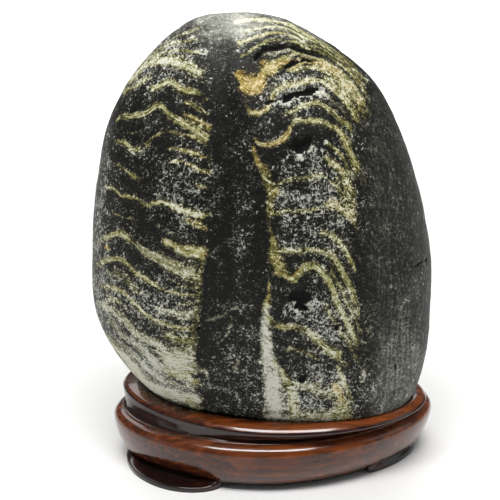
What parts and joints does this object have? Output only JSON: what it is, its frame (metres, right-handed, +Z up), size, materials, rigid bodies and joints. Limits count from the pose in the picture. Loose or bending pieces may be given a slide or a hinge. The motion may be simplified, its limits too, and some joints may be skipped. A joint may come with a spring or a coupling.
{
  "type": "scholars rock on stand",
  "caption": "Upright egg-shaped banded scholars rock resting in the fitted seat of its low carved oval wooden stand; displayed free-standing on a shelf or desk.",
  "frame": {"origin": "centre of the overall footprint box, on the surface the stand's feet rest on", "axes": "+X along the stand's long side, to the right seen from the front; -Y towards the viewer of the banded face; +Z up"},
  "size_m": [0.1632, 0.1024, 0.2145],
  "materials": {
    "stone": "water-worn and waxed dark rock with pale grey, ochre and yellow-olive folded bands",
    "stand_wood": "red-brown lacquered hardwood, semi-gloss"
  },
  "bodies": {
    "root": {"stone": "stone", "stand": "stand_wood"}
  },
  "joints": []
}
